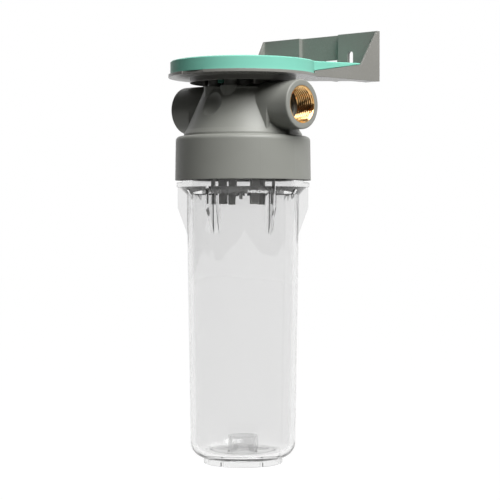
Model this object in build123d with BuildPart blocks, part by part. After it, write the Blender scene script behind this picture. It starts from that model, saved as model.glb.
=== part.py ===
"""Wall-hung water filter housing: bracket, cover, head with two brass ports and a clear screw-on bowl.

Millimetres, +Z up. The origin lies on the wall face, midway between the seats of the two wall screws.
+Y points into the wall and the two ports point along +X and -X.
Heights in this file are counted upwards from the underside of the bowl's foot.
"""

import os
from math import cos, radians, sin, tan

from build123d import *

# Bowl, clear plastic
foot_height = 5.0
foot_r = 36.4
foot_wall = 4.0
foot_notch_width = 3.0
foot_notch_depth = 2.0
foot_notch_height = 4.0
tube_r_low = 48.3
tube_draft_deg = 0.9
tube_wall = 4.8
bottom_corner_r = 14.0
floor_thickness = 5.2
centring_boss_r = 13.75
centring_boss_wall = 2.5
centring_boss_height = 14.8
seat_ring_r = 30.5
seat_ring_width = 2.0
seat_ring_height = 2.2
floor_rib_length = 12.0
floor_rib_width = 2.4
floor_rib_height = 4.0
flange_under = 254.5
flange_overhang = 4.9
flange_thickness = 4.2
flange_cone_height = 6.5
flange_cone_reach = 6.6
neck_wall = 9.3
neck_thread_height = 15.0
spigot_wall = 5.6
spigot_height = 10.0
fin_count = 6
fin_first_deg = -80.0
fin_inset = 1.1
fin_width = 3.0
fin_straight = 19.0
fin_total = 43.0
small_fin_reach = 6.0
small_fin_height = 11.5
small_fin_width = 3.0

# Bowl seal, rubber ring in a groove of the spigot
seal_section_r = 1.5
seal_clearance = 0.3
seal_groove_width = 4.2
seal_groove_below_top = 5.0

# Head, grey plastic
skirt_gap = 2.3
skirt_height = 40.3
skirt_wall = 5.6
skirt_draft_deg = 0.9
skirt_corner_r = 4.0
shoulder_ledge = 7.5
shoulder_step_height = 2.2
cone_step = 2.4
cone_base_rise = 6.2
cone_top_r = 36.0
cone_height = 36.0
cone_wall = 6.0
neck_top_rise = 1.5
thread_clearance = 0.5
spigot_clearance = 0.4
bowl_top_clearance = 2.5
chamber_step = 5.0
port_r = 22.3
port_rise = 26.7
port_reach = 71.5
port_edge_r = 1.2
port_bore_r = 12.5
tunnel_wall = 3.2
web_thickness = 4.3
web_reach = 48.4
web_root_r = 30.0
port_rib_width = 3.6
port_rib_reach = 58.0
nozzle_r = 18.0
nozzle_bore_r = 12.5
nozzle_lip = 2.0
cartridge_length = 250.0
cage_plate_above_seat = 8.0
cage_plate_thickness = 3.0
cage_tab_count = 6
cage_tab_first_deg = -86.8
cage_tab_r = 27.1
cage_tab_thickness = 2.4
cage_tab_width = 8.0
cage_tab_depth = 31.5
hub_r = 18.0
hub_height = 8.0
screw_boss_x = 10.0
screw_boss_y = 28.0
screw_boss_r = 9.5
screw_boss_height = 9.5
screw_boss_rise = 1.5
scoop_r = 20.0
scoop_depth = 2.4
scoop_drop = 7.5

# Thread inserts, brass, for a G1 pipe thread
insert_r = 17.1
insert_bore_r = 15.15
insert_length = 20.0
insert_groove_depth = 0.8
insert_groove_width = 3.0
insert_groove_count = 2
insert_chamfer = 0.9
insert_clearance = 0.05

# Bracket, grey plastic
rim_r = 69.0
arm_root_x = 60.6
arm_root_y = 30.9
arm_end_overhang = 0.7
arm_corner_r = 5.0
wall_reach = 118.0
plate_back_step = 5.0
plate_thickness = 3.3
plate_height = 47.5
plate_centre_half = 24.3
floor_plate = 2.6
ring_r = 49.0
ring_wall = 2.4
ring_depth = 5.0
ring_clearance = 0.2
rim_notch_width = 26.0
rim_notch_depth = 2.6
side_wall = 2.2
side_root_height = 5.1
side_slope_end_y = 89.0
upstand_wall = 2.2
slot_x = 39.5
slot_width = 6.6
slot_length = 22.0
slot_drop = 16.7
window_inner_x = 3.0
window_outer_x = 19.5
window_drop = 23.5
window_height = 14.5
plate_foot_rise = 6.0
arm_opening_front_x = 24.0
arm_opening_front_y = 66.0
arm_opening_back_y = 93.0
arm_opening_margin = 15.0
arm_opening_corner_r = 4.0
arm_rib_x = 22.0
arm_rib_width = 2.2
arm_rib_start_y = 52.0
lug_r = 5.8
lug_hole_r = 2.8
saddle_x = 31.0
saddle_width = 2.6
saddle_half_length = 19.5
saddle_depth = 8.0
saddle_clearance = 0.4
hub_clearance = 1.4

# Cover, mint plastic
cover_inset = 1.9
cover_thickness = 2.2
cover_height = 11.9
cover_arm_rise = 2.2
cover_rise_start_y = 38.0
cover_clearance = 0.4
cover_edge_chamfer = 0.8
leg_y = 30.0
leg_width = 6.0
leg_thickness = 2.0
leg_below_floor = 6.5
leg_barb = 1.2
leg_barb_height = 3.0
leg_barb_land = 1.0
leg_slot_clearance = 0.6

# Screws and washers
screw_shank_r = 2.4
screw_clearance = 0.05
screw_head_r = 4.7
screw_head_height = 3.2
screw_head_edge_r = 1.9
screw_recess_width = 1.1
screw_recess_length = 5.0
screw_recess_depth = 1.6
screw_tip_margin = 1.0
washer_r = 5.8
washer_thickness = 1.0
washer_clearance = 0.3

# How close an edge must lie to a wanted size to be picked, and how far a cut runs past a face
match_tolerance = 0.01
face_up_limit = 0.9
cut_margin = 1.0

# Heights worked out from the sizes above
floor_top = foot_height + floor_thickness
cartridge_seat = floor_top + seat_ring_height + cartridge_length
flange_top = flange_under + flange_thickness
skirt_bottom = flange_top + skirt_gap
neck_thread_top = flange_top + neck_thread_height
bowl_top = neck_thread_top + spigot_height
shoulder = skirt_bottom + skirt_height
cone_base = shoulder + cone_base_rise
cone_top = cone_base + cone_height
neck_top = cone_top + neck_top_rise
port_height = shoulder + port_rise
boss_top = neck_top + screw_boss_rise
ring_bottom = port_height + port_r + ring_clearance
bracket_floor = ring_bottom + ring_depth
bracket_floor_top = bracket_floor + floor_plate
cover_top = bracket_floor_top + cover_height
cover_ceiling = cover_top - cover_thickness
plate_top = bracket_floor + plate_height
screw_seat = plate_top - slot_drop - slot_width / 2

housing_axis = Axis((0, -wall_reach, 0), (0, 0, 1))


def level(height):
    """Horizontal plane at a height, centred on the housing's axis."""
    return Plane(origin=(0, -wall_reach, height - screw_seat))


def radial(angle_deg):
    """Upright plane through the housing's axis: local x is the radius and local y the height."""
    angle = radians(angle_deg)
    return Plane(
        origin=(0, -wall_reach, -screw_seat),
        x_dir=(cos(angle), sin(angle), 0),
        z_dir=(sin(angle), -cos(angle), 0),
    )


def tube_r(height):
    """Outer radius of the drafted tube at a height."""
    return tube_r_low + tan(radians(tube_draft_deg)) * (height - foot_height)


def ring_sketch(height, outer, inner):
    """Flat ring at a height, ready to extrude."""
    with BuildSketch(level(height), mode=Mode.PRIVATE) as ring:
        Circle(outer)
        Circle(inner, mode=Mode.SUBTRACT)
    return ring.sketch


def circles_at(solid, radius, height):
    """Circular edges of one radius at one height, for a fillet or a chamfer."""
    return (
        solid.edges()
        .filter_by(GeomType.CIRCLE)
        .filter_by(lambda edge: abs(edge.radius - radius) < match_tolerance)
        .filter_by(lambda edge: abs(edge.center().Z + screw_seat - height) < match_tolerance)
    )


section = radial(0)
fin_angles = [fin_first_deg + 360.0 / fin_count * i for i in range(fin_count)]
small_fin_angles = [angle + 180.0 / fin_count for angle in fin_angles]

# Radii worked out from the tube outwards, so that neck, flange, skirt and cone follow the tube
tube_top = flange_under - flange_cone_height
inner_r_low = tube_r(floor_top) - tube_wall
inner_r_top = tube_r(tube_top) - tube_wall
spigot_r = inner_r_top + spigot_wall
neck_r = inner_r_top + neck_wall
flange_r = neck_r + flange_overhang
fin_r = flange_r - fin_inset
thread_bore_r = neck_r + thread_clearance
seal_bore_r = spigot_r + spigot_clearance
skirt_r = thread_bore_r + skirt_wall
skirt_top_r = skirt_r - tan(radians(skirt_draft_deg)) * skirt_height
shoulder_step_r = skirt_top_r - shoulder_ledge
cone_base_r = shoulder_step_r - cone_step

# Bowl: a revolved shell with moulded fins, foot, floor and grooved spigot
seal_groove_r = spigot_r + spigot_clearance - 2 * (seal_section_r + seal_clearance)
seal_height = bowl_top - seal_groove_below_top
floor_rib_centre_r = centring_boss_r + (floor_rib_length - centring_boss_wall) / 2

with BuildPart() as bowl:
    with BuildSketch(section):
        with BuildLine():
            Polyline(
                (0, foot_height),
                (tube_r_low, foot_height),
                (tube_r(tube_top), tube_top),
                (tube_r(tube_top) + flange_cone_reach, flange_under),
                (flange_r, flange_under),
                (flange_r, flange_top),
                (neck_r, flange_top),
                (neck_r, neck_thread_top),
                (spigot_r, neck_thread_top),
                (spigot_r, bowl_top),
                (0, bowl_top),
                close=True,
            )
        outer_face = make_face()
        corner = outer_face.vertices().sort_by_distance((tube_r_low, foot_height))[0]
        fillet(corner, bottom_corner_r)
    revolve(axis=housing_axis)
    for angle in fin_angles:
        with BuildSketch(radial(angle)):
            with BuildLine():
                Polyline(
                    (tube_r(flange_under) - tube_wall / 2, flange_under),
                    (fin_r, flange_under),
                    (fin_r, flange_under - fin_straight),
                    (tube_r(flange_under - fin_total), flange_under - fin_total),
                    (tube_r_low - tube_wall / 2, flange_under - fin_total),
                    close=True,
                )
            make_face()
    extrude(amount=fin_width / 2, both=True)
    for angle in small_fin_angles:
        with BuildSketch(radial(angle)):
            with BuildLine():
                Polyline(
                    (tube_r_low - tube_wall / 2, flange_under),
                    (tube_r(flange_under) + small_fin_reach, flange_under),
                    (tube_r(flange_under), flange_under - small_fin_height),
                    (tube_r_low - tube_wall / 2, flange_under - small_fin_height),
                    close=True,
                )
            make_face()
    extrude(amount=small_fin_width / 2, both=True)
    with BuildSketch(section):
        with BuildLine():
            Polyline(
                (0, floor_top),
                (inner_r_low, floor_top),
                (inner_r_top, tube_top),
                (inner_r_top, bowl_top),
                (0, bowl_top),
                close=True,
            )
        inner_face = make_face()
        corner = inner_face.vertices().sort_by_distance((inner_r_low, floor_top))[0]
        fillet(corner, bottom_corner_r - tube_wall)
    revolve(axis=housing_axis, mode=Mode.SUBTRACT)
    extrude(ring_sketch(0, foot_r, foot_r - foot_wall), amount=foot_height + tube_wall / 2)
    with BuildSketch(level(0)):
        with PolarLocations(foot_r, fin_count, start_angle=fin_first_deg):
            Rectangle(2 * foot_notch_depth, foot_notch_width)
    extrude(amount=foot_notch_height, mode=Mode.SUBTRACT)
    extrude(
        ring_sketch(floor_top, centring_boss_r, centring_boss_r - centring_boss_wall),
        amount=centring_boss_height,
    )
    extrude(
        ring_sketch(floor_top, seat_ring_r + seat_ring_width / 2, seat_ring_r - seat_ring_width / 2),
        amount=seat_ring_height,
    )
    with BuildSketch(level(floor_top)):
        with PolarLocations(floor_rib_centre_r, fin_count, start_angle=fin_first_deg):
            Rectangle(floor_rib_length, floor_rib_width)
    extrude(amount=floor_rib_height)
    extrude(
        ring_sketch(seal_height - seal_groove_width / 2, spigot_r + cut_margin, seal_groove_r),
        amount=seal_groove_width,
        mode=Mode.SUBTRACT,
    )
bowl.part.label = "bowl"

# Bowl seal: a round-section ring in the spigot's groove
with BuildPart() as bowl_o_ring:
    with BuildSketch(section):
        with Locations((seal_groove_r + seal_clearance + seal_section_r, seal_height)):
            Circle(seal_section_r)
    revolve(axis=housing_axis)
bowl_o_ring.part.label = "bowl_o_ring"

# Head: a revolved shell, then ports, webs and bosses, then the flow chamber, nozzle and cage
chamber_floor = bowl_top + bowl_top_clearance
chamber_top = neck_top - cone_wall
chamber_r_top = cone_top_r - cone_wall
chamber_r_low = cone_base_r - cone_wall
web_foot = shoulder - cone_wall
port_z = port_height - screw_seat
ports = Plane(origin=(0, -wall_reach, port_z), x_dir=(0, 1, 0), z_dir=(1, 0, 0))
inlet_mouth = Plane(origin=(-port_reach, -wall_reach, port_z), x_dir=(0, 1, 0), z_dir=(1, 0, 0))
outlet_mouth = Plane(origin=(port_reach, -wall_reach, port_z), x_dir=(0, 1, 0), z_dir=(-1, 0, 0))
screw_spots = [
    (x, y) for y in (-screw_boss_y, screw_boss_y) for x in (-screw_boss_x, screw_boss_x)
]
cage_plate = cartridge_seat + cage_plate_above_seat
cage_r = cage_tab_r + cage_tab_thickness
cage_tab_centre_r = cage_tab_r + cage_tab_thickness / 2
scoop_height = cone_top - scoop_drop
scoop_surface_r = cone_top_r + (cone_base_r - cone_top_r) * scoop_drop / cone_height

with BuildPart() as filter_head:
    with BuildSketch(section):
        with BuildLine():
            Polyline(
                (0, skirt_bottom),
                (skirt_r, skirt_bottom),
                (skirt_top_r, shoulder),
                (shoulder_step_r, shoulder),
                (shoulder_step_r, shoulder + shoulder_step_height),
                (cone_base_r, cone_base),
                (cone_top_r, cone_top),
                (cone_top_r, neck_top),
                (hub_r, neck_top),
                (hub_r, neck_top + hub_height),
                (0, neck_top + hub_height),
                close=True,
            )
        head_face = make_face()
        corner = head_face.vertices().sort_by_distance((skirt_top_r, shoulder))[0]
        fillet(corner, skirt_corner_r)
    revolve(axis=housing_axis)
    for side in (-1, 1):
        scoop_y = side * (scoop_surface_r + scoop_r - scoop_depth)
        with Locations((0, scoop_y - wall_reach, scoop_height - screw_seat)):
            Sphere(scoop_r, mode=Mode.SUBTRACT)
    with BuildSketch(ports):
        Circle(port_r)
    extrude(amount=port_reach, both=True)
    mouth_edges = filter_head.edges().filter_by(GeomType.CIRCLE).group_by(Axis.X)
    fillet(mouth_edges[0] + mouth_edges[-1], port_edge_r)
    with BuildSketch(level(web_foot)):
        with GridLocations(web_reach + web_root_r, 2 * port_r - web_thickness, 2, 2):
            Rectangle(web_reach - web_root_r, web_thickness)
    extrude(amount=port_height - web_foot)
    with BuildSketch(level(web_foot)):
        with GridLocations(port_rib_reach + web_root_r, 0, 2, 1):
            Rectangle(port_rib_reach - web_root_r, port_rib_width)
    extrude(amount=port_height - port_r + cone_wall - web_foot)
    with BuildSketch(level(boss_top)):
        with Locations(*screw_spots):
            Circle(screw_boss_r)
    extrude(amount=-screw_boss_height)
    with BuildSketch(section):
        with BuildLine():
            Polyline(
                (0, skirt_bottom),
                (thread_bore_r, skirt_bottom),
                (thread_bore_r, neck_thread_top + thread_clearance),
                (seal_bore_r, neck_thread_top + thread_clearance),
                (seal_bore_r, chamber_floor),
                (chamber_r_low, chamber_floor + chamber_step),
                (chamber_r_low, cone_base),
                (chamber_r_top, chamber_top),
                (0, chamber_top),
                close=True,
            )
        make_face()
    revolve(axis=housing_axis, mode=Mode.SUBTRACT)
    with BuildSketch(level(chamber_top)):
        Circle(nozzle_r)
    extrude(amount=cartridge_seat - chamber_top)
    with BuildSketch(ports):
        Circle(port_bore_r + tunnel_wall)
    extrude(amount=cone_top_r)
    with BuildSketch(level(cage_plate)):
        Circle(cage_r)
    extrude(amount=cage_plate_thickness)
    with BuildSketch(level(cage_plate)):
        with PolarLocations(cage_tab_centre_r, cage_tab_count, start_angle=cage_tab_first_deg):
            Rectangle(cage_tab_thickness, cage_tab_width)
    extrude(amount=-cage_tab_depth)
    with BuildSketch(level(cartridge_seat)):
        Circle(nozzle_bore_r)
    extrude(amount=port_height - cartridge_seat, mode=Mode.SUBTRACT)
    chamfer(circles_at(filter_head, nozzle_r, cartridge_seat), nozzle_lip)
    with BuildSketch(ports):
        Circle(port_bore_r)
    extrude(amount=port_reach, mode=Mode.SUBTRACT)
    with BuildSketch(inlet_mouth):
        Circle(port_bore_r)
    extrude(amount=port_reach - nozzle_r - tunnel_wall, mode=Mode.SUBTRACT)
    with BuildSketch(inlet_mouth, outlet_mouth):
        Circle(insert_r + insert_clearance)
    extrude(amount=insert_length, mode=Mode.SUBTRACT)
    with BuildSketch(level(boss_top)):
        with Locations(*screw_spots):
            Circle(screw_shank_r + screw_clearance)
    extrude(amount=-screw_boss_height, mode=Mode.SUBTRACT)
filter_head.part.label = "filter_head"


def thread_insert(mouth):
    """Brass insert set into a port from its mouth, with two grooves that key it in the plastic."""
    with BuildPart() as insert:
        with BuildSketch(mouth):
            Circle(insert_r)
            Circle(insert_bore_r, mode=Mode.SUBTRACT)
        extrude(amount=insert_length)
        bore_edges = insert.edges().filter_by(GeomType.CIRCLE).filter_by(
            lambda edge: abs(edge.radius - insert_bore_r) < match_tolerance
        )
        chamfer(bore_edges, insert_chamfer)
        for number in range(1, insert_groove_count + 1):
            with BuildSketch(mouth.offset(insert_length * number / (insert_groove_count + 1))):
                Circle(insert_r)
                Circle(insert_r - insert_groove_depth, mode=Mode.SUBTRACT)
            extrude(amount=insert_groove_width / 2, both=True, mode=Mode.SUBTRACT)
    return insert


inlet_insert = thread_insert(inlet_mouth)
inlet_insert.part.label = "inlet_insert"
outlet_insert = thread_insert(outlet_mouth)
outlet_insert.part.label = "outlet_insert"

# Bracket: a rimmed plate and flared arm, side walls rising into gussets, and a stepped wall plate
plate_front_y = wall_reach - plate_back_step - plate_thickness
plate_foot = bracket_floor + plate_foot_rise
arm_end_x = port_reach + arm_end_overhang
arm_slope = (arm_end_x - arm_root_x) / (plate_front_y + plate_thickness - arm_root_y)
upstand_inset = cover_inset + cover_thickness + cover_clearance
upstand_top = cover_ceiling - cover_clearance
leg_slot_length = leg_width + 2 * leg_slot_clearance
leg_slot_width = leg_thickness + leg_barb + 2 * leg_slot_clearance


def arm_x(y):
    """Half width of the arm at a distance behind the housing's axis."""
    return arm_root_x + arm_slope * (y - arm_root_y)


def outline(height, inset=0.0, back_y=None):
    """Plan of the bracket at a height: a round plate and a flared arm, drawn in by an inset."""
    end_y = plate_front_y + plate_thickness if back_y is None else back_y
    with BuildSketch(level(height), mode=Mode.PRIVATE) as plan:
        Circle(rim_r - inset)
        with BuildLine():
            Polyline(
                (-arm_root_x + inset, arm_root_y),
                (arm_root_x - inset, arm_root_y),
                (arm_x(end_y) - inset, end_y),
                (-arm_x(end_y) + inset, end_y),
                close=True,
            )
        make_face()
    return plan.sketch


def side_plane(side):
    """Upright plane on one side of the arm: local x runs to the wall and local y is the height."""
    run = Vector(side * arm_slope, 1, 0).normalized()
    return Plane(
        origin=(side * arm_root_x, arm_root_y - wall_reach, -screw_seat),
        x_dir=run,
        z_dir=run.cross(Vector(0, 0, 1)),
    )


def along_arm(y):
    """Distance along the arm's side for a distance behind the housing's axis."""
    return (y - arm_root_y) * (1 + arm_slope**2) ** 0.5


with BuildPart() as wall_bracket:
    extrude(outline(bracket_floor), amount=floor_plate)
    with BuildSketch(level(bracket_floor)):
        with Locations((0, -rim_r)):
            Rectangle(rim_notch_width, 2 * rim_notch_depth)
    extrude(amount=floor_plate, mode=Mode.SUBTRACT)
    extrude(outline(bracket_floor_top, upstand_inset), amount=upstand_top - bracket_floor_top)
    extrude(
        outline(bracket_floor_top, upstand_inset + upstand_wall),
        amount=upstand_top - bracket_floor_top,
        mode=Mode.SUBTRACT,
    )
    for side in (-1, 1):
        with BuildSketch(side_plane(side)):
            with BuildLine():
                Polyline(
                    (0, bracket_floor),
                    (0, bracket_floor + side_root_height),
                    (along_arm(side_slope_end_y), cover_top),
                    (along_arm(plate_front_y), plate_top),
                    (along_arm(plate_front_y + plate_thickness), plate_top),
                    (along_arm(plate_front_y + plate_thickness), bracket_floor),
                    close=True,
                )
            make_face()
        extrude(amount=-side * side_wall)
    with BuildSketch(level(plate_foot)):
        with Locations((0, plate_front_y + plate_thickness / 2)):
            Rectangle(2 * arm_x(plate_front_y) - side_wall, plate_thickness)
        with Locations((0, wall_reach - (plate_back_step + plate_thickness) / 2)):
            Rectangle(2 * (plate_centre_half + plate_thickness), plate_back_step + plate_thickness)
        with Locations((0, wall_reach - plate_thickness - plate_back_step / 2)):
            Rectangle(2 * plate_centre_half, plate_back_step, mode=Mode.SUBTRACT)
    extrude(amount=plate_top - plate_foot)
    with BuildSketch(level(plate_foot)):
        with Locations((0, wall_reach - (plate_back_step + plate_thickness) / 2)):
            Rectangle(2 * (plate_centre_half + plate_thickness), plate_back_step + plate_thickness)
    extrude(amount=floor_plate)
    slot_centre = screw_seat + slot_width / 2 - slot_length / 2
    with BuildSketch(Plane(origin=(0, 0, slot_centre - screw_seat), x_dir=(-1, 0, 0), z_dir=(0, 1, 0))):
        with GridLocations(2 * slot_x, 0, 2, 1):
            SlotOverall(slot_length, slot_width, rotation=90)
    extrude(amount=-plate_back_step - 2 * plate_thickness, mode=Mode.SUBTRACT)
    window_centre = plate_top - window_drop - window_height / 2
    with BuildSketch(Plane(origin=(0, 0, window_centre - screw_seat), x_dir=(-1, 0, 0), z_dir=(0, 1, 0))):
        with GridLocations(window_inner_x + window_outer_x, 0, 2, 1):
            Rectangle(window_outer_x - window_inner_x, window_height)
    extrude(amount=-2 * plate_thickness, mode=Mode.SUBTRACT)
    extrude(ring_sketch(ring_bottom, ring_r, ring_r - ring_wall), amount=ring_depth)
    with BuildSketch(level(bracket_floor)):
        with Locations(*screw_spots):
            Circle(lug_r)
    extrude(amount=boss_top - bracket_floor)
    with BuildSketch(level(bracket_floor)):
        with GridLocations(2 * saddle_x, 0, 2, 1):
            Rectangle(saddle_width, 2 * saddle_half_length)
    extrude(amount=-saddle_depth)
    with BuildSketch(ports):
        Circle(port_r + saddle_clearance)
    extrude(amount=ring_r - ring_wall, both=True, mode=Mode.SUBTRACT)
    with BuildSketch(level(bracket_floor)):
        Circle(hub_r + hub_clearance)
    extrude(amount=floor_plate, mode=Mode.SUBTRACT)
    with BuildSketch(level(bracket_floor_top)):
        with GridLocations(2 * arm_rib_x, 0, 2, 1):
            with Locations((0, (arm_rib_start_y + plate_front_y) / 2)):
                Rectangle(arm_rib_width, plate_front_y - arm_rib_start_y + plate_thickness)
    extrude(amount=upstand_top - bracket_floor_top)
    with BuildSketch(level(bracket_floor)):
        with BuildLine():
            Polyline(
                (-arm_opening_front_x, arm_opening_front_y),
                (arm_opening_front_x, arm_opening_front_y),
                (arm_x(arm_opening_back_y) - arm_opening_margin, arm_opening_back_y),
                (arm_x(plate_front_y) - arm_opening_margin, plate_front_y + plate_thickness + cut_margin),
                (-arm_x(plate_front_y) + arm_opening_margin, plate_front_y + plate_thickness + cut_margin),
                (-arm_x(arm_opening_back_y) + arm_opening_margin, arm_opening_back_y),
                close=True,
            )
        opening_face = make_face()
        fillet(opening_face.vertices(), arm_opening_corner_r)
    extrude(amount=floor_plate, mode=Mode.SUBTRACT)
    with BuildSketch(level(boss_top)):
        with Locations(*screw_spots):
            Circle(lug_hole_r)
    extrude(amount=bracket_floor_top - boss_top, mode=Mode.SUBTRACT)
    with BuildSketch(level(bracket_floor)):
        with GridLocations(0, 2 * leg_y, 1, 2):
            Rectangle(leg_slot_length, leg_slot_width)
    extrude(amount=floor_plate, mode=Mode.SUBTRACT)
wall_bracket.part.label = "wall_bracket"

# Cover: a flat top with a skirt that seats on the bracket's floor plate and runs out along the arm
cover_back_y = plate_front_y - cover_clearance
side_cut = side_wall + cover_clearance
side_view = Plane(origin=(0, -wall_reach, -screw_seat), x_dir=(0, 1, 0), z_dir=(1, 0, 0))
leg_side = side_view.offset(-leg_width / 2)
barb_y = leg_y + leg_thickness / 2
barb_tip_y = barb_y + leg_barb
leg_foot = bracket_floor - leg_below_floor
barb_top = bracket_floor - cover_clearance



def cover_block(inset, back_y, top):
    """Solid block with the cover's plan, flat over the round plate and rising towards the wall."""
    with BuildPart() as block:
        extrude(outline(bracket_floor_top, inset, back_y), amount=top + cover_arm_rise - bracket_floor_top)
        with BuildSketch(side_view):
            with BuildLine():
                Polyline(
                    (-wall_reach, top),
                    (cover_rise_start_y, top),
                    (cover_back_y, top + cover_arm_rise),
                    (wall_reach, top + cover_arm_rise),
                    (wall_reach, plate_top),
                    (-wall_reach, plate_top),
                    close=True,
                )
            make_face()
        extrude(amount=arm_end_x, both=True, mode=Mode.SUBTRACT)
    return block.part


cover_outside = cover_block(cover_inset, cover_back_y, cover_top)
cover_inside = cover_block(cover_inset + cover_thickness, cover_back_y + cover_thickness, cover_ceiling)

with BuildPart() as top_cover:
    add(cover_outside)
    top_faces = top_cover.faces().filter_by(lambda face: face.normal_at().Z > face_up_limit)
    crease = top_cover.edges().filter_by(Axis.X).filter_by(
        lambda edge: abs(edge.center().Y + wall_reach - cover_rise_start_y) < match_tolerance
    )
    chamfer(top_faces.edges() - crease, cover_edge_chamfer)
    add(cover_inside, mode=Mode.SUBTRACT)
    for side in (-1, 1):
        with BuildSketch(side_plane(side)):
            with BuildLine():
                Polyline(
                    (-cover_clearance, bracket_floor),
                    (-cover_clearance, bracket_floor + side_root_height + cover_clearance),
                    (along_arm(side_slope_end_y) - cover_clearance, cover_top + cover_clearance),
                    (along_arm(side_slope_end_y), cover_top + cover_arm_rise + cover_clearance),
                    (along_arm(wall_reach), cover_top + cover_arm_rise + cover_clearance),
                    (along_arm(wall_reach), bracket_floor),
                    close=True,
                )
            make_face()
        extrude(amount=-side * side_cut, mode=Mode.SUBTRACT)
    with BuildSketch(level(cover_ceiling)):
        with GridLocations(0, 2 * leg_y, 1, 2):
            Rectangle(leg_width, leg_thickness)
    extrude(amount=leg_foot - cover_ceiling)
    for side in (-1, 1):
        with BuildSketch(leg_side):
            with BuildLine():
                Polyline(
                    (side * leg_y, barb_top - leg_barb_height),
                    (side * barb_y, barb_top - leg_barb_height),
                    (side * barb_tip_y, barb_top - leg_barb_land),
                    (side * barb_tip_y, barb_top),
                    (side * leg_y, barb_top),
                    close=True,
                )
            make_face()
        extrude(amount=leg_width)
top_cover.part.label = "top_cover"


screw_tip = boss_top - screw_boss_height + screw_tip_margin


def bracket_screw(spot):
    """Pan-head screw through a lug into the head's boss, with a cross recess."""
    x, y = spot
    seat = level(bracket_floor_top + washer_thickness)
    with BuildPart() as screw:
        with BuildSketch(seat):
            with Locations((x, y)):
                Circle(screw_head_r)
        extrude(amount=screw_head_height)
        fillet(screw.edges().group_by(Axis.Z)[-1], screw_head_edge_r)
        with BuildSketch(seat):
            with Locations((x, y)):
                Circle(screw_shank_r)
        extrude(amount=screw_tip - bracket_floor_top - washer_thickness)
        with BuildSketch(seat.offset(screw_head_height)):
            with Locations((x, y)):
                Rectangle(screw_recess_length, screw_recess_width)
                Rectangle(screw_recess_width, screw_recess_length)
        extrude(amount=-screw_recess_depth, mode=Mode.SUBTRACT)
    return screw


def screw_washer(spot):
    """Flat washer under a screw head."""
    x, y = spot
    with BuildPart() as washer:
        with BuildSketch(level(bracket_floor_top)):
            with Locations((x, y)):
                Circle(washer_r)
                Circle(screw_shank_r + washer_clearance, mode=Mode.SUBTRACT)
        extrude(amount=washer_thickness)
    return washer


os.makedirs("parts", exist_ok=True)
export_step(bowl.part, "parts/bowl.step")
export_step(bowl_o_ring.part, "parts/bowl_o_ring.step")
export_step(filter_head.part, "parts/filter_head.step")
export_step(inlet_insert.part, "parts/inlet_insert.step")
export_step(outlet_insert.part, "parts/outlet_insert.step")
export_step(wall_bracket.part, "parts/wall_bracket.step")
export_step(top_cover.part, "parts/top_cover.step")
for number, spot in enumerate(screw_spots, start=1):
    screw = bracket_screw(spot)
    screw.part.label = f"bracket_screw_{number}"
    export_step(screw.part, f"parts/bracket_screw_{number}.step")
    washer = screw_washer(spot)
    washer.part.label = f"screw_washer_{number}"
    export_step(washer.part, f"parts/screw_washer_{number}.step")
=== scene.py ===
"""Looks of a wall-hung water filter housing: finishes for its solids, threads, mould lines and studio.

Metres, +Z up. The origin lies on the wall face between the seats of the two wall screws,
the wall is at +Y and the two ports point along +X and -X.
"""

from math import cos, radians, sin, tau

import bmesh
import bpy
from bpy.props import FloatProperty, FloatVectorProperty, IntProperty, PointerProperty
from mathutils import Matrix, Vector


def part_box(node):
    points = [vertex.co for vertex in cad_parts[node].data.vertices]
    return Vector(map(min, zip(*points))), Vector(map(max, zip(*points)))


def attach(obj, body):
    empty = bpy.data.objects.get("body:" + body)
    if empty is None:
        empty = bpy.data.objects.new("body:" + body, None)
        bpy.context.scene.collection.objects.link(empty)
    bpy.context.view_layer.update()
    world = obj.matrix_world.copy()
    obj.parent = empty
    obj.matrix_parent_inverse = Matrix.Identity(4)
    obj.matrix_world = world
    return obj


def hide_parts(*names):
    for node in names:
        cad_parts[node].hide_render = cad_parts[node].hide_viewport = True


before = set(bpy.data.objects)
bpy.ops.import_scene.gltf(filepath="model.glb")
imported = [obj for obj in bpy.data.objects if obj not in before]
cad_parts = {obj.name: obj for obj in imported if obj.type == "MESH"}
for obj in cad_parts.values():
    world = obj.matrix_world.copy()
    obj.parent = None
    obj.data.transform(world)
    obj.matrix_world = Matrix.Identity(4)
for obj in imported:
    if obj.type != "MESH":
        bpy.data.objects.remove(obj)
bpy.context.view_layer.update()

bl_info = {
    "name": "Water Filter Housing",
    "version": (1, 0, 0),
    "blender": (4, 5, 0),
    "location": "View3D > Sidebar > Filter",
    "description": "Finishes, threads and studio for a wall-hung water filter housing",
    "category": "Object",
}

MM = 0.001
UP = Vector((0.0, 0.0, 1.0))
WHITE = (1.0, 1.0, 1.0, 1.0)

HEAD_LOW, HEAD_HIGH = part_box("filter_head")
BOWL_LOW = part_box("bowl")[0]
INSERT_LOW, INSERT_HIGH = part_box("outlet_insert")

# The housing's upright axis, and the height of the two ports
AXIS_Y = (HEAD_LOW[1] + HEAD_HIGH[1]) / 2
PORT_Z = (INSERT_LOW[2] + INSERT_HIGH[2]) / 2

# The head's skirt, which narrows a little upwards to its rounded shoulder, and the ports' outside
SKIRT_LOW, SKIRT_HIGH = -121.6 * MM, -87.0 * MM
SKIRT_R = (HEAD_HIGH[1] - HEAD_LOW[1]) / 2
SKIRT_TOP_R = SKIRT_R - 0.55 * MM
PORT_R = 22.3 * MM

# The bowl's neck, which turns in the head's bore with 0.5 mm to spare
NECK_R = 56.62 * MM
NECK_LOW, NECK_HIGH = -121.2 * MM, -110.8 * MM

# How deep the foot of a ridge is sunk into the surface that carries it
RIDGE_SUNK = 0.05 * MM

# Height of the triangle that a 55 degree thread is cut from, as a share of its pitch
PIPE_THREAD_TRIANGLE = 0.96

# Least thickness of brass behind the roots of the pipe thread
SLEEVE_WALL = 0.2 * MM

# The least angle between two faces that still shows as an edge
SHARP_FROM = radians(40)

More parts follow.
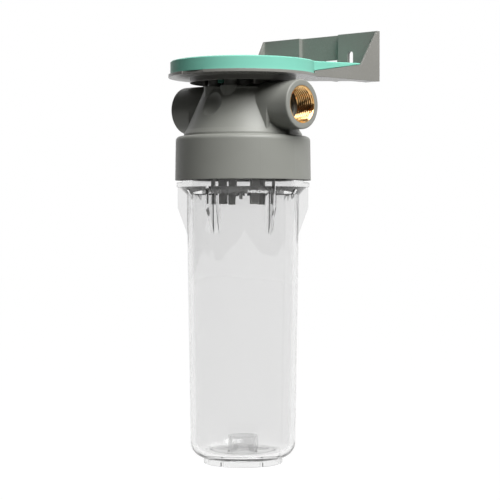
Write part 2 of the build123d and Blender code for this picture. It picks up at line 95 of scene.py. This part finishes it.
# The values between which nearly all of a noise texture lies, and how far mould grain changes the roughness
NOISE_LOW, NOISE_HIGH = 0.3, 0.7
GRAIN_ROUGHNESS = 0.04

SCREWS = [f"bracket_screw_{number}" for number in range(1, 5)]
WASHERS = [f"screw_washer_{number}" for number in range(1, 5)]

# Azimuths are degrees to the right of the wall's normal, elevations are degrees up from level, and
# distances are metres. The camera looks a quarter of a degree to the right of the housing's axis and one
# degree down.
CAMERA_AZIMUTH, CAMERA_DISTANCE, CAMERA_Z = 42.0, 1.481, -0.1595
CAMERA_TURN_RIGHT, CAMERA_TILT_DOWN = 0.25, 1.04
CAMERA_LENS_MM, CAMERA_SENSOR_MM = 115.2, 36.0
KEY_AZIMUTH, KEY_ELEVATION = 75.0, 50.0
FILL_AZIMUTH, FILL_ELEVATION = 222.0, 20.0
LAMP_SIZE, LAMP_DISTANCE = 1.7, 2.2
LAMP_AIM = Vector((0.0, AXIS_Y, PORT_Z - 0.08))

# Half the width of the floor, and the way towards the middle of the white backdrop
FLOOR_HALF = 15.0
BACKDROP_WAY = (-0.47, 0.88, 0.0)


def linear(hex_colour):
    """An sRGB hex colour as linear red, green, blue and alpha."""
    parts = [int(hex_colour[i : i + 2], 16) / 255 for i in (1, 3, 5)]
    return (*(c / 12.92 if c <= 0.04045 else ((c + 0.055) / 1.055) ** 2.4 for c in parts), 1.0)


# Nodes


def add_node(tree, kind, inputs=None, **settings):
    """Adds one node, sets its properties, and fills or links its inputs by name or number."""
    made = tree.nodes.new(kind)
    for name, value in settings.items():
        setattr(made, name, value)
    for name, value in (inputs or {}).items():
        if isinstance(value, bpy.types.NodeSocket):
            tree.links.new(value, made.inputs[name])
        else:
            made.inputs[name].default_value = value
    return made


def noise(tree, size, detail):
    """Noise fixed to the object, with blobs about one size across."""
    place = add_node(tree, "ShaderNodeTexCoord").outputs["Object"]
    blobs = add_node(tree, "ShaderNodeTexNoise", {"Vector": place, "Scale": 1 / size, "Detail": detail})
    return blobs.outputs["Fac"]


def ranged(tree, value, low, high, start=0.0, end=1.0):
    """Stretches a value that runs from start to end, so that it runs from low to high."""
    limits = {"Value": value, "From Min": start, "From Max": end, "To Min": low, "To Max": high}
    return add_node(tree, "ShaderNodeMapRange", limits).outputs[0]


def calculate(tree, operation, first, second):
    """One sum, product or comparison of two values."""
    return add_node(tree, "ShaderNodeMath", {0: first, 1: second}, operation=operation).outputs[0]


def new_material(name):
    """An empty node material and its tree."""
    material = bpy.data.materials.new(name)
    material.use_nodes = True
    material.node_tree.nodes.clear()
    return material, material.node_tree


def finish_surface(tree, shader):
    """Joins a shader to the material's output."""
    add_node(tree, "ShaderNodeOutputMaterial", {"Surface": shader.outputs[0]})


def dress(node_name, material):
    """Gives one CAD node a single material."""
    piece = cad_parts[node_name]
    for slot in piece.material_slots:
        slot.material = material


# Materials


def moulded_plastic(name, colour, dark, roughness, edge, gloss=0.5):
    """Injection-moulded plastic from a spark-eroded tool: a fine satin grain and softly rounded edges."""
    material, tree = new_material(name)
    # Spark-eroded grain is about 0.1 mm wide, drawn 0.6 mm wide so that it still shows
    grain = noise(tree, 0.6 * MM, 3.0)
    smooth, coarse = roughness - GRAIN_ROUGHNESS, roughness + GRAIN_ROUGHNESS
    rough = ranged(tree, grain, smooth, coarse, NOISE_LOW, NOISE_HIGH)
    # Flow of the melt leaves a slow change of shade, some 40 mm across
    flow = ranged(tree, noise(tree, 40 * MM, 2.0), 0.0, 1.0, NOISE_LOW, NOISE_HIGH)
    tint = add_node(tree, "ShaderNodeMix", {0: flow, 6: dark, 7: colour}, data_type="RGBA")
    rounded = add_node(tree, "ShaderNodeBevel", {"Radius": edge}, samples=6)
    bump = add_node(
        tree,
        "ShaderNodeBump",
        {"Strength": 0.5, "Distance": 0.05 * MM, "Height": grain, "Normal": rounded.outputs[0]},
    )
    shader = add_node(
        tree,
        "ShaderNodeBsdfPrincipled",
        {
            "Base Color": tint.outputs[2],
            "Roughness": rough,
            "Normal": bump.outputs[0],
            "IOR": 1.49,
            "Specular IOR Level": gloss,
        },
    )
    finish_surface(tree, shader)
    return material


def clear_plastic(colour):
    """Clear styrene plastic from a polished mould: glassy, with melt ripples and a little haze."""
    material, tree = new_material("clear_san_polished_mould")
    # Sink and flow ripples are some 25 mm across and only a few thousandths of a millimetre deep
    ripple = noise(tree, 25 * MM, 1.0)
    bump = add_node(tree, "ShaderNodeBump", {"Strength": 0.05, "Distance": 0.1 * MM, "Height": ripple})
    shader = add_node(
        tree,
        "ShaderNodeBsdfPrincipled",
        {
            "Base Color": colour,
            "Roughness": 0.02,
            "IOR": 1.57,
            "Transmission Weight": 0.98,
            "Normal": bump.outputs[0],
        },
    )
    # Each face of a wall lets through 62 per cent of a lamp's light
    clear = add_node(tree, "ShaderNodeBsdfTransparent", {"Color": (0.62, 0.62, 0.62, 1.0)})
    path = add_node(tree, "ShaderNodeLightPath")
    mixed = add_node(
        tree,
        "ShaderNodeMixShader",
        {0: path.outputs["Is Shadow Ray"], 1: shader.outputs[0], 2: clear.outputs[0]},
    )
    finish_surface(tree, mixed)
    return material


def turned_brass(colour, dark):
    """Free-cutting brass, tapped on a lathe: bright, with tool marks round the bore and a few stains."""
    material, tree = new_material("brass_turned")
    # The tap chatters in the soft metal and tears flats of about 1 mm into the flanks
    torn = add_node(
        tree,
        "ShaderNodeBump",
        {"Strength": 0.35, "Distance": 0.3 * MM, "Height": noise(tree, 1.0 * MM, 1.0)},
    )
    # Feed marks lie across the bore's axis, which is X, about 0.6 mm apart
    marks = add_node(
        tree,
        "ShaderNodeTexWave",
        {
            "Vector": add_node(tree, "ShaderNodeTexCoord").outputs["Object"],
            "Scale": 1 / (2.0 * MM),
            "Distortion": 2.0,
            "Detail": 2.0,
        },
        wave_type="BANDS",
        bands_direction="X",
    )
    bump = add_node(
        tree,
        "ShaderNodeBump",
        {
            "Strength": 0.15,
            "Distance": 0.02 * MM,
            "Height": marks.outputs["Fac"],
            "Normal": torn.outputs[0],
        },
    )
    stains = noise(tree, 6 * MM, 3.0)
    tint = add_node(tree, "ShaderNodeMix", {0: stains, 6: colour, 7: dark}, data_type="RGBA")
    shader = add_node(
        tree,
        "ShaderNodeBsdfPrincipled",
        {"Base Color": tint.outputs[2], "Metallic": 1.0, "Roughness": 0.08, "Normal": bump.outputs[0]},
    )
    finish_surface(tree, shader)
    return material


def plated_steel(colour):
    """Zinc-plated steel, bright passivated: a soft grey metal with a slightly cloudy plating."""
    material, tree = new_material("steel_zinc_plated")
    rough = ranged(tree, noise(tree, 1.5 * MM, 3.0), 0.25, 0.42)
    look = {"Base Color": colour, "Metallic": 1.0, "Roughness": rough}
    finish_surface(tree, add_node(tree, "ShaderNodeBsdfPrincipled", look))
    return material


def seal_rubber(colour):
    """Nitrile rubber, compression moulded: near black, with the dull gloss of a greased seal."""
    material, tree = new_material("nitrile_rubber_moulded")
    rough = ranged(tree, noise(tree, 3 * MM, 2.0), 0.35, 0.55)
    look = {"Base Color": colour, "Roughness": rough, "IOR": 1.52}
    finish_surface(tree, add_node(tree, "ShaderNodeBsdfPrincipled", look))
    return material


# Meshes


def link_mesh(name, mesh):
    """Turns a finished mesh into an object in the scene, smooth except along its sharp edges."""
    bmesh.ops.recalc_face_normals(mesh, faces=mesh.faces)
    data = bpy.data.meshes.new(name)
    mesh.to_mesh(data)
    mesh.free()
    data.shade_smooth()
    data.set_sharp_from_angle(angle=SHARP_FROM)
    piece = bpy.data.objects.new(name, data)
    bpy.context.collection.objects.link(piece)
    return piece


def join_rings(mesh, near, far):
    """Adds the faces between two closed rings of as many points."""
    for i in range(len(near)):
        k = (i + 1) % len(near)
        mesh.faces.new((near[i], near[k], far[k], far[i]))


def threaded_sleeve(name, mouth_x, sizes):
    """Brass sleeve with a helical pipe thread inside, open at both ends, its mouth at mouth_x."""
    inward = -1 if mouth_x > 0 else 1
    length = INSERT_HIGH[0] - INSERT_LOW[0]
    outer = (INSERT_HIGH[2] - INSERT_LOW[2]) / 2
    root_limit = outer - SLEEVE_WALL
    angles = [tau * i / sizes.steps_round for i in range(sizes.steps_round)]
    along = int(length / sizes.pitch * sizes.steps_per_pitch)
    mesh = bmesh.new()

    def ring_point(angle, depth, radius):
        y, z = AXIS_Y + radius * cos(angle), PORT_Z + radius * sin(angle)
        return mesh.verts.new((mouth_x + inward * depth, y, z))

    rings = []
    for j in range(along + 1):
        depth = length * j / along
        # The thread runs out where the mouth and the inner end are countersunk
        mouth_r = sizes.bore_r + max(0.0, sizes.chamfer - depth)
        inner_r = sizes.bore_r + max(0.0, sizes.chamfer - (length - depth))
        ring = []
        for angle in angles:
            turn = (depth / sizes.pitch - inward * angle / tau) % 1.0
            # 55 degree form: a triangle cut off by a sixth at its crest and at its root
            flank = PIPE_THREAD_TRIANGLE * sizes.pitch * (1 - abs(2 * turn - 1) - 1 / 6)
            groove_r = sizes.bore_r + min(max(flank, 0.0), sizes.depth)
            ring.append(ring_point(angle, depth, min(max(groove_r, mouth_r, inner_r), root_limit)))
        rings.append(ring)
    rings.append([ring_point(angle, length, outer) for angle in angles])
    rings.append([ring_point(angle, 0.0, outer) for angle in angles])
    rings.append(rings[0])
    for near, far in zip(rings, rings[1:]):
        join_rings(mesh, near, far)
    return link_mesh(name, mesh)


def add_ridge(mesh, path, width):
    """Adds a moulded ridge whose crest is half as wide as its foot.

    The path lists points on the surface that carries it, each with the ways out of that surface
    and across the ridge, and the ridge's height there.
    """
    rows = []
    for point, out, across, height in path:
        corners = (
            (-width / 2, -RIDGE_SUNK),
            (-width / 4, height),
            (width / 4, height),
            (width / 2, -RIDGE_SUNK),
        )
        rows.append([mesh.verts.new(point + across * side + out * rise) for side, rise in corners])
    for near, far in zip(rows, rows[1:]):
        join_rings(mesh, near, far)
    mesh.faces.new(rows[0])
    mesh.faces.new(rows[-1])


def parting_lines(name, sizes):
    """Ridges where the mould's halves met: up the skirt on two sides, and along the ports' flanks."""
    mesh = bmesh.new()
    for angle in (sizes.angle, sizes.angle + tau / 2):
        out = Vector((cos(angle), sin(angle), 0.0))
        across = Vector((-sin(angle), cos(angle), 0.0))
        foot = Vector((0.0, AXIS_Y, SKIRT_LOW)) + out * SKIRT_R
        top = Vector((0.0, AXIS_Y, SKIRT_HIGH)) + out * SKIRT_TOP_R
        add_ridge(mesh, [(point, out, across, sizes.proud) for point in (foot, top)], sizes.width)
    for side in (-1, 1):
        for flank in (-1, 1):
            out = Vector((0.0, flank, 0.0))
            near = Vector((side * sizes.port_near, AXIS_Y, PORT_Z)) + out * PORT_R
            far = Vector((side * sizes.port_far, AXIS_Y, PORT_Z)) + out * PORT_R
            add_ridge(mesh, [(point, out, UP, sizes.proud) for point in (near, far)], sizes.width)
    return link_mesh(name, mesh)


def neck_thread(name, sizes):
    """The bowl's coarse thread: a right-hand ridge that winds up the neck and runs out at both ends."""
    turns = (NECK_HIGH - NECK_LOW) / sizes.pitch
    count = int(turns * sizes.steps_round)
    path = []
    for i in range(count + 1):
        share = i / count
        angle = tau * turns * share
        out = Vector((cos(angle), sin(angle), 0.0))
        middle = Vector((0.0, AXIS_Y, NECK_LOW + (NECK_HIGH - NECK_LOW) * share))
        height = sizes.height * min(1.0, share / sizes.run_out, (1 - share) / sizes.run_out)
        path.append((middle + out * NECK_R, out, UP, height))
    mesh = bmesh.new()
    add_ridge(mesh, path, sizes.width)
    return link_mesh(name, mesh)


# Sizes and colours that a user would change


def colour_property(name, description, hex_colour):
    """A colour, from its sRGB hex."""
    return FloatVectorProperty(
        name=name,
        description=description,
        default=linear(hex_colour),
        subtype="COLOR",
        size=4,
        min=0.0,
        max=1.0,
    )


def length_property(name, description, millimetres):
    """A length, from its millimetres."""
    return FloatProperty(
        name=name, description=description, default=millimetres * MM, unit="LENGTH", precision=5
    )


def amount_property(name, description, amount, least=0.0):
    """A plain number that isn't a length, such as a share, a brightness or a power."""
    return FloatProperty(name=name, description=description, default=amount, min=least)


def count_property(name, description, count, least):
    """A whole number."""
    return IntProperty(name=name, description=description, default=count, min=least)


class FilterPipeThreadSizes(bpy.types.PropertyGroup):
    """Pipe thread of the brass sleeves"""

    pitch: length_property("Pitch", "Distance between two turns, 11 to the inch", 2.309)
    depth: length_property("Depth", "Depth of the groove", 1.48)
    bore_r: length_property("Bore radius", "Radius inside the crests", 15.15)
    chamfer: length_property("Chamfer", "Countersink at the mouth", 1.1)
    steps_per_pitch: count_property("Steps per pitch", "Mesh rows in one turn", 12, 6)
    steps_round: count_property("Steps round", "Mesh columns in one turn", 112, 32)


class FilterNeckThreadSizes(bpy.types.PropertyGroup):
    """Coarse thread of the bowl's neck"""

    pitch: length_property("Pitch", "Distance between two turns", 6.0)
    width: length_property("Width", "Width of the ridge at its foot", 2.8)
    height: length_property("Height", "How far the ridge stands out", 0.38)
    run_out: amount_property("Run-out", "Share of its length in which each end rises", 1 / 15, 0.01)
    steps_round: count_property("Steps round", "Mesh columns in one turn", 120, 32)


class FilterPartingSizes(bpy.types.PropertyGroup):
    """Mould lines on the head"""

    width: length_property("Width", "Width of the ridge at its foot", 0.5)
    proud: length_property("Proud", "How far the ridge stands out", 0.05)
    angle: FloatProperty(
        name="Angle",
        description="Where the line runs up the skirt",
        default=radians(-33.0),
        unit="ROTATION",
    )
    port_near: length_property("Port start", "Where the port's line starts, from the housing's axis", 56.0)
    port_far: length_property("Port end", "Where the port's line ends", 66.5)


class FilterColours(bpy.types.PropertyGroup):
    """Colours of the finishes"""

    head: colour_property("Head plastic", "Head", "#8F908A")
    head_dark: colour_property("Head plastic, dark flow", "Darker flow in the head", "#898A84")
    bracket: colour_property("Bracket plastic", "Bracket", "#8D8C87")
    bracket_dark: colour_property("Bracket plastic, dark flow", "Darker flow in the bracket", "#888782")
    mint: colour_property("Mint plastic", "Cover", "#83CCB8")
    mint_dark: colour_property("Mint plastic, dark flow", "Darker flow in the cover", "#7EC8B4")
    clear: colour_property("Clear plastic", "Bowl", "#EFEFEF")
    brass: colour_property("Brass", "Thread sleeves", "#EAC68E")
    brass_dark: colour_property("Tarnished brass", "Stains on the thread sleeves", "#D0A466")
    steel: colour_property("Plated steel", "Screws and washers", "#C4C6C8")
    rubber: colour_property("Rubber", "Bowl seal", "#161616")


class FilterStage(bpy.types.PropertyGroup):
    """Studio around the housing"""

    floor_drop: length_property("Floor drop", "Floor's depth below the bowl", 550)
    floor_colour: colour_property("Floor", "Plain paper floor", "#5C5C5A")
    floor_white: amount_property("Floor white", "Brightness of the floor to the eye", 0.99)
    ambient: amount_property("Ambient", "Light from all round", 0.06)
    front_gloss: amount_property("Front gloss", "Brightness of the room in front in what reflects it", 0.08)
    key_power: amount_property("Key lamp", "Watts of the lamp on the right", 92.0)
    fill_power: amount_property("Fill lamp", "Watts of the lamp behind", 40.0)


# Operators


class FILTER_OT_grey_parts(bpy.types.Operator):
    """Finish the head and the bracket in grey moulded plastic, with the head's mould lines"""

    bl_idname = "filter.grey_parts"
    bl_label = "Head and bracket"

    def execute(self, context):
        colours = context.scene.filter_colours
        head = {"colour": colours.head, "dark": colours.head_dark, "roughness": 0.45}
        bracket = {"colour": colours.bracket, "dark": colours.bracket_dark, "roughness": 0.26}
        dress("filter_head", moulded_plastic("grey_polypropylene_moulded", **head, edge=1.2 * MM))
        dress("wall_bracket", moulded_plastic("grey_abs_moulded", **bracket, edge=0.5 * MM))
        lines = parting_lines("head_parting_lines", context.scene.filter_parting)
        thin = moulded_plastic("grey_polypropylene_parting_line", **head, edge=0.05 * MM)
        lines.data.materials.append(thin)
        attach(lines, "head")
        return {"FINISHED"}


class FILTER_OT_cover(bpy.types.Operator):
    """Finish the cover in mint moulded plastic"""

    bl_idname = "filter.cover"
    bl_label = "Cover"

    def execute(self, context):
        colours = context.scene.filter_colours
        mint = {"colour": colours.mint, "dark": colours.mint_dark, "roughness": 0.38}
        dress("top_cover", moulded_plastic("mint_abs_moulded", **mint, edge=0.6 * MM, gloss=0.12))
        return {"FINISHED"}


class FILTER_OT_bowl(bpy.types.Operator):
    """Finish the bowl in clear plastic and put the thread on its neck"""

    bl_idname = "filter.bowl"
    bl_label = "Bowl"

    def execute(self, context):
        clear = clear_plastic(context.scene.filter_colours.clear)
        dress("bowl", clear)
        thread = neck_thread("bowl_neck_thread", context.scene.filter_neck_thread)
        thread.data.materials.append(clear)
        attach(thread, "bowl")
        return {"FINISHED"}


class FILTER_OT_seal(bpy.types.Operator):
    """Finish the bowl's seal in rubber"""

    bl_idname = "filter.seal"
    bl_label = "Seal"

    def execute(self, context):
        dress("bowl_o_ring", seal_rubber(context.scene.filter_colours.rubber))
        return {"FINISHED"}


class FILTER_OT_fixings(bpy.types.Operator):
    """Finish the screws and washers in plated steel"""

    bl_idname = "filter.fixings"
    bl_label = "Screws and washers"

    def execute(self, context):
        steel = plated_steel(context.scene.filter_colours.steel)
        for name in SCREWS + WASHERS:
            dress(name, steel)
        return {"FINISHED"}


class FILTER_OT_thread_sleeves(bpy.types.Operator):
    """Make the two brass sleeves with their pipe threads"""

    bl_idname = "filter.thread_sleeves"
    bl_label = "Thread sleeves"

    def execute(self, context):
        colours = context.scene.filter_colours
        brass = turned_brass(colours.brass, colours.brass_dark)
        for side in ("inlet", "outlet"):
            low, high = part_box(f"{side}_insert")
            mouth_x = low[0] if side == "inlet" else high[0]
            piece = threaded_sleeve(f"{side}_thread_sleeve", mouth_x, context.scene.filter_pipe_thread)
            piece.data.materials.append(brass)
            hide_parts(f"{side}_insert")
            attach(piece, "head")
        return {"FINISHED"}


class FILTER_OT_stage(bpy.types.Operator):
    """Make the floor, the backdrop, the lamps and the camera"""

    bl_idname = "filter.stage"
    bl_label = "Stage"

    def execute(self, context):
        stage = context.scene.filter_stage
        self.make_floor(stage)
        self.make_world(context, stage)
        self.make_lamps(stage)
        self.make_camera(context)
        context.scene.view_settings.view_transform = "Standard"
        return {"FINISHED"}

    def seen_white(self, tree, path, *rays):
        """1 for such rays before they meet anything matt, so that the white they see lights nothing."""
        seen = path.outputs[rays[0]]
        for ray in rays[1:]:
            seen = calculate(tree, "MAXIMUM", seen, path.outputs[ray])
        direct = calculate(tree, "LESS_THAN", path.outputs["Diffuse Depth"], 0.5)
        return calculate(tree, "MULTIPLY", seen, direct)

    def make_floor(self, stage):
        """A wide paper floor that looks white to the eye and in what reflects or bends it."""
        material, tree = new_material("paper_floor_matt")
        path = add_node(tree, "ShaderNodeLightPath")
        seen = self.seen_white(tree, path, "Is Camera Ray", "Is Glossy Ray", "Is Transmission Ray")
        glow = calculate(tree, "MULTIPLY", seen, stage.floor_white)
        paper = add_node(tree, "ShaderNodeBsdfDiffuse", {"Color": stage.floor_colour})
        white = add_node(tree, "ShaderNodeEmission", {"Color": WHITE, "Strength": glow})
        both = add_node(tree, "ShaderNodeAddShader", {0: paper.outputs[0], 1: white.outputs[0]})
        finish_surface(tree, both)
        mesh = bmesh.new()
        bmesh.ops.create_grid(mesh, x_segments=1, y_segments=1, size=FLOOR_HALF)
        floor = link_mesh("floor", mesh)
        floor.data.materials.append(material)
        floor.location = (0.0, 0.0, BOWL_LOW[2] - stage.floor_drop)

    def make_world(self, context, stage):
        """Soft light from all round, seen as white behind the object."""
        world = bpy.data.worlds.new("studio")
        world.use_nodes = True
        tree = world.node_tree
        tree.nodes.clear()
        path = add_node(tree, "ShaderNodeLightPath")
        seen = self.seen_white(tree, path, "Is Camera Ray", "Is Transmission Ray")
        way = add_node(tree, "ShaderNodeTexCoord").outputs["Generated"]
        # What shines sees the white backdrop by the wall and a dimmer room in front of it
        facing = add_node(tree, "ShaderNodeVectorMath", {0: way, 1: BACKDROP_WAY}, operation="DOT_PRODUCT")
        mirrored = ranged(tree, facing.outputs["Value"], stage.front_gloss, 1.0, start=0.1, end=0.6)
        # Soft light comes from the ceiling more than from the sides, and least from below
        upward = add_node(tree, "ShaderNodeSeparateXYZ", {0: way}).outputs["Z"]
        ceiling = ranged(tree, upward, 0.2 * stage.ambient, 1.8 * stage.ambient, start=-0.1, end=0.7)
        lit = add_node(
            tree,
            "ShaderNodeMix",
            {0: path.outputs["Is Glossy Ray"], 2: ceiling, 3: mirrored},
            data_type="FLOAT",
        )
        strength = add_node(tree, "ShaderNodeMix", {0: seen, 2: lit.outputs[0], 3: 1.0}, data_type="FLOAT")
        light = add_node(tree, "ShaderNodeBackground", {"Color": WHITE, "Strength": strength.outputs[0]})
        add_node(tree, "ShaderNodeOutputWorld", {"Surface": light.outputs[0]})
        context.scene.world = world

    def make_lamps(self, stage):
        """A large soft key lamp high on the right, and a weaker one behind that the camera can't see."""
        self.make_lamp("key", KEY_AZIMUTH, KEY_ELEVATION, stage.key_power)
        fill = self.make_lamp("fill", FILL_AZIMUTH, FILL_ELEVATION, stage.fill_power)
        fill.visible_camera = False
        fill.visible_glossy = False
        fill.visible_transmission = False

    def make_lamp(self, name, azimuth, elevation, power):
        """A square soft lamp that shines at the head from an azimuth and an elevation in degrees."""
        azimuth, elevation = radians(azimuth), radians(elevation)
        way = Vector((sin(azimuth) * cos(elevation), -cos(azimuth) * cos(elevation), sin(elevation)))
        data = bpy.data.lights.new(name, "AREA")
        data.shape = "SQUARE"
        data.size = LAMP_SIZE
        data.energy = power
        lamp = bpy.data.objects.new(name, data)
        lamp.location = LAMP_AIM + LAMP_DISTANCE * way
        lamp.rotation_euler = (-way).to_track_quat("-Z", "Y").to_euler()
        bpy.context.collection.objects.link(lamp)
        return lamp

    def make_camera(self, context):
        """A long lens at the height of the upper bowl, that looks almost level at the housing's axis."""
        data = bpy.data.cameras.new("camera")
        data.sensor_width = CAMERA_SENSOR_MM
        data.lens = CAMERA_LENS_MM
        camera = bpy.data.objects.new("camera", data)
        azimuth = radians(CAMERA_AZIMUTH)
        camera.location = (
            CAMERA_DISTANCE * sin(azimuth),
            AXIS_Y - CAMERA_DISTANCE * cos(azimuth),
            CAMERA_Z,
        )
        camera.rotation_euler = (
            radians(90.0 - CAMERA_TILT_DOWN),
            0.0,
            radians(CAMERA_AZIMUTH - CAMERA_TURN_RIGHT),
        )
        bpy.context.collection.objects.link(camera)
        context.scene.camera = camera


class FILTER_PT_panel(bpy.types.Panel):
    """Panel with the sizes, the colours and the steps"""

    bl_idname = "FILTER_PT_panel"
    bl_label = "Water Filter Housing"
    bl_space_type = "VIEW_3D"
    bl_region_type = "UI"
    bl_category = "Filter"

    def draw(self, context):
        for group_name in GROUPS:
            group = getattr(context.scene, group_name)
            box = self.layout.box()
            for name in group.__annotations__:
                box.prop(group, name)
        for operator in OPERATORS:
            self.layout.operator(operator.bl_idname)


GROUPS = {
    "filter_pipe_thread": FilterPipeThreadSizes,
    "filter_neck_thread": FilterNeckThreadSizes,
    "filter_parting": FilterPartingSizes,
    "filter_colours": FilterColours,
    "filter_stage": FilterStage,
}
OPERATORS = (
    FILTER_OT_stage,
    FILTER_OT_grey_parts,
    FILTER_OT_cover,
    FILTER_OT_bowl,
    FILTER_OT_seal,
    FILTER_OT_fixings,
    FILTER_OT_thread_sleeves,
)
CLASSES = (*GROUPS.values(), *OPERATORS, FILTER_PT_panel)


def register():
    for cls in CLASSES:
        bpy.utils.register_class(cls)
    for name, group in GROUPS.items():
        setattr(bpy.types.Scene, name, PointerProperty(type=group))


def unregister():
    for name in GROUPS:
        delattr(bpy.types.Scene, name)
    for cls in reversed(CLASSES):
        bpy.utils.unregister_class(cls)


def main():
    """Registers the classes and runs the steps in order."""
    register()
    bpy.ops.filter.stage()
    bpy.ops.filter.grey_parts()
    bpy.ops.filter.cover()
    bpy.ops.filter.bowl()
    bpy.ops.filter.seal()
    bpy.ops.filter.fixings()
    bpy.ops.filter.thread_sleeves()


if __name__ == "__main__":
    main()
